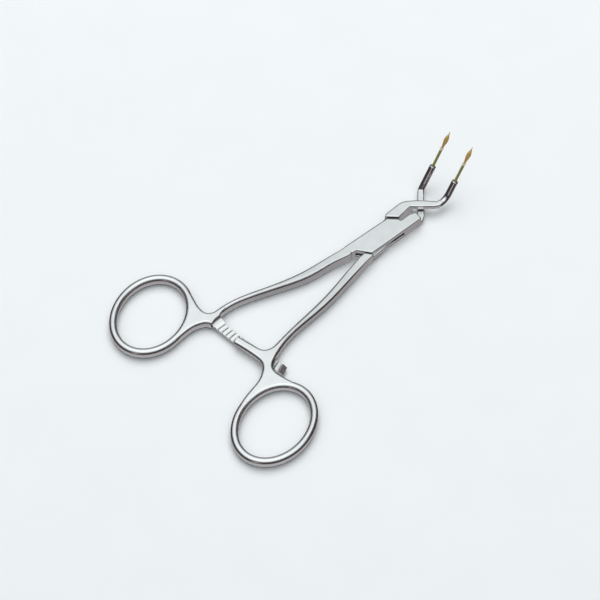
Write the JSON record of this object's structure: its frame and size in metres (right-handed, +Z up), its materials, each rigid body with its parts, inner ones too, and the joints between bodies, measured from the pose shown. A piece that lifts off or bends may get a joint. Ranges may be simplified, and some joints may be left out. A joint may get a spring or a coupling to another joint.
{
  "type": "spreading forceps",
  "caption": "Ring-handled box-lock forceps whose crossed arms spread two upturned gilt pins when the handles close on a ratchet.",
  "frame": {"origin": "on the pivot axis, level with the underside of the box", "axes": "+X towards the pins, +Y towards the left ring, +Z up through the lock, the side that the pins rise from"},
  "size_m": [0.1397, 0.0898, 0.0244],
  "materials": {
    "steel": "satin polished stainless steel",
    "gilt": "dull gilt"
  },
  "bodies": {
    "box_side": {"box_half": "steel", "pivot_pin": "steel", "left_tip": "gilt"},
    "tongue_side": {"tongue_half": "steel", "right_tip": "gilt"}
  },
  "joints": [
    {"name": "box_hinge", "type": "hinge", "parent": "box_side", "child": "tongue_side", "pos_m": [0, 0, 0.0025], "axis": [0, 0, 1], "range_deg": [-6.5, 12]}
  ]
}
